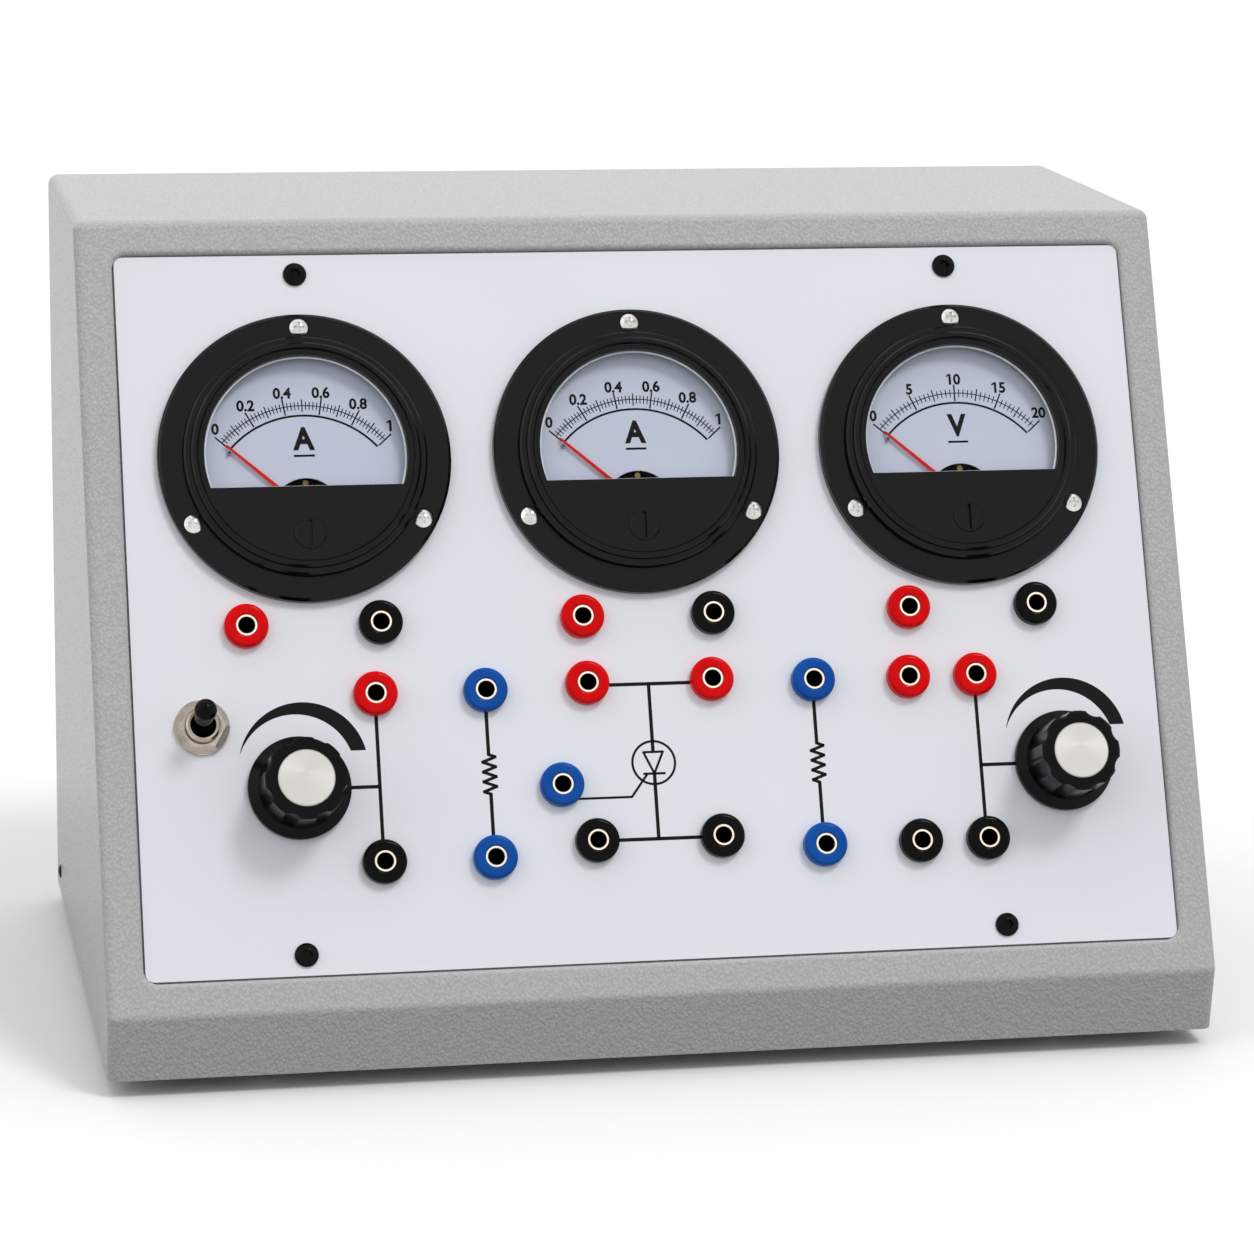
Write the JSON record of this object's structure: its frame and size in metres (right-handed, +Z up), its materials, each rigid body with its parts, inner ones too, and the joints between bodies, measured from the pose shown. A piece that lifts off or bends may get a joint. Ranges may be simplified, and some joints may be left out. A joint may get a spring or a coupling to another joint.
{
  "type": "thyristor characteristics trainer",
  "caption": "Desk-top electronics trainer: grey steel case with a sloping white panel of round moving-coil meters, banana sockets, control knobs and a toggle switch.",
  "frame": {"origin": "middle of the footprint, on the plane that the feet stand on", "axes": "+X to the right along the panel, +Y to the back, +Z up"},
  "size_m": [0.3066, 0.1979, 0.221],
  "materials": {
    "case_paint": "light grey textured powder coat",
    "inner_steel": "zinc-plated sheet",
    "panel_enamel": "white stove enamel with black screen print",
    "foot_rubber": "matt black",
    "black_screw": "black-finished steel",
    "plated_screw": "bright zinc plate",
    "terminal_brass": "turned brass",
    "socket_red": "gloss red moulding",
    "socket_black": "gloss black moulding",
    "socket_blue": "gloss blue moulding",
    "sleeve_nickel": "nickel-plated brass",
    "toggle_nickel": "nickel-plated brass, satin",
    "toggle_black": "smooth black moulding",
    "switch_moulding": "phenolic moulding",
    "gland_plastic": "black nylon",
    "fuse_glass": "clear glass fuse with caps",
    "core_steel": "laminated core steel",
    "winding_tape": "yellow winding tape",
    "board_laminate": "green board laminate",
    "capacitor_sleeve": "blue sleeve",
    "sink_aluminium": "extruded aluminium",
    "device_epoxy": "moulded epoxy",
    "meter_moulding": "black phenolic moulding, satin",
    "meter_glass": "clear glass",
    "dial_card": "pale matt dial with black print",
    "movement_brass": "brass and steel movement",
    "pointer_red": "red lacquer",
    "knob_moulding": "black moulding, satin",
    "knob_aluminium": "spun aluminium"
  },
  "bodies": {
    "housing": {"case_shell": "case_paint", "base_plate": "inner_steel", "rear_panel": "case_paint", "feet": "foot_rubber", "front_panel": "panel_enamel", "panel_screws": "black_screw", "side_screws": "black_screw", "base_screws": "plated_screw", "rear_screws": "plated_screw", "meter_screws": "plated_screw", "meter_terminals": "terminal_brass", "socket_insulators_red": "socket_red", "socket_insulators_black": "socket_black", "socket_insulators_blue": "socket_blue", "socket_sleeves": "sleeve_nickel", "socket_nuts": "sleeve_nickel", "toggle_nut": "toggle_nickel", "toggle_bush": "toggle_nickel", "toggle_body": "switch_moulding", "pot_nuts": "plated_screw", "cord_gland": "gland_plastic", "fuse_holder": "gland_plastic", "transformer_core": "core_steel", "transformer_winding": "winding_tape", "circuit_board": "board_laminate", "board_capacitors": "capacitor_sleeve", "board_heatsinks": "sink_aluminium", "power_devices": "device_epoxy", "ammeter_left_cover": "meter_moulding", "ammeter_left_case": "meter_moulding", "ammeter_left_window": "meter_glass", "ammeter_left_dial": "dial_card", "ammeter_left_movement": "movement_brass", "ammeter_middle_cover": "meter_moulding", "ammeter_middle_case": "meter_moulding", "ammeter_middle_window": "meter_glass", "ammeter_middle_dial": "dial_card", "ammeter_middle_movement": "movement_brass", "voltmeter_cover": "meter_moulding", "voltmeter_case": "meter_moulding", "voltmeter_window": "meter_glass", "voltmeter_dial": "dial_card", "voltmeter_movement": "movement_brass", "pot_left_case": "switch_moulding", "pot_right_case": "switch_moulding"},
    "ammeter_left_pointer_body": {"ammeter_left_pointer": "pointer_red"},
    "ammeter_left_adjuster_body": {"ammeter_left_zero_adjuster": "meter_moulding"},
    "ammeter_middle_pointer_body": {"ammeter_middle_pointer": "pointer_red"},
    "ammeter_middle_adjuster_body": {"ammeter_middle_zero_adjuster": "meter_moulding"},
    "voltmeter_pointer_body": {"voltmeter_pointer": "pointer_red"},
    "voltmeter_adjuster_body": {"voltmeter_zero_adjuster": "meter_moulding"},
    "lever_body": {"toggle_lever": "toggle_black"},
    "knob_left_body": {"knob_left": "knob_moulding", "knob_left_cap": "knob_aluminium", "pot_left_shaft": "terminal_brass"},
    "knob_right_body": {"knob_right": "knob_moulding", "knob_right_cap": "knob_aluminium", "pot_right_shaft": "terminal_brass"},
    "fuse_cap_body": {"fuse_cap": "gland_plastic", "fuse_link": "fuse_glass"}
  },
  "joints": [
    {"name": "ammeter_left_needle", "type": "hinge", "parent": "housing", "child": "ammeter_left_pointer_body", "pos_m": [-0.0928, -0.04215, 0.14566], "axis": [0, 0.9104, -0.4138], "range_deg": [0, 97], "stiffness_Nm_per_rad": 0.00004},
    {"name": "ammeter_left_zero_set", "type": "hinge", "parent": "housing", "child": "ammeter_left_adjuster_body", "pos_m": [-0.0928, -0.04951, 0.14154], "axis": [0, -0.9104, 0.4138], "range_deg": [-60, 60]},
    {"name": "ammeter_middle_needle", "type": "hinge", "parent": "housing", "child": "ammeter_middle_pointer_body", "pos_m": [-0.001, -0.04215, 0.14566], "axis": [0, 0.9104, -0.4138], "range_deg": [0, 97], "stiffness_Nm_per_rad": 0.00004},
    {"name": "ammeter_middle_zero_set", "type": "hinge", "parent": "housing", "child": "ammeter_middle_adjuster_body", "pos_m": [-0.001, -0.04951, 0.14154], "axis": [0, -0.9104, 0.4138], "range_deg": [-60, 60]},
    {"name": "voltmeter_needle", "type": "hinge", "parent": "housing", "child": "voltmeter_pointer_body", "pos_m": [0.0908, -0.04215, 0.14566], "axis": [0, 0.9104, -0.4138], "range_deg": [0, 97], "stiffness_Nm_per_rad": 0.00004},
    {"name": "voltmeter_zero_set", "type": "hinge", "parent": "housing", "child": "voltmeter_adjuster_body", "pos_m": [0.0908, -0.04951, 0.14154], "axis": [0, -0.9104, 0.4138], "range_deg": [-60, 60]},
    {"name": "toggle", "type": "hinge", "parent": "housing", "child": "lever_body", "pos_m": [-0.1241, -0.06755, 0.09339], "axis": [1, 0, 0], "range_deg": [0, 24]},
    {"name": "knob_left_turn", "type": "hinge", "parent": "housing", "child": "knob_left_body", "pos_m": [-0.0989, -0.07339, 0.07693], "axis": [0, 0.9104, -0.4138], "range_deg": [0, 300]},
    {"name": "knob_right_turn", "type": "hinge", "parent": "housing", "child": "knob_right_body", "pos_m": [0.1134, -0.07339, 0.07693], "axis": [0, 0.9104, -0.4138], "range_deg": [0, 300]},
    {"name": "fuse_cap_turn", "type": "hinge", "parent": "housing", "child": "fuse_cap_body", "pos_m": [-0.12, 0.089, 0.066], "axis": [0, 1, 0], "range_deg": [-45, 0]}
  ]
}
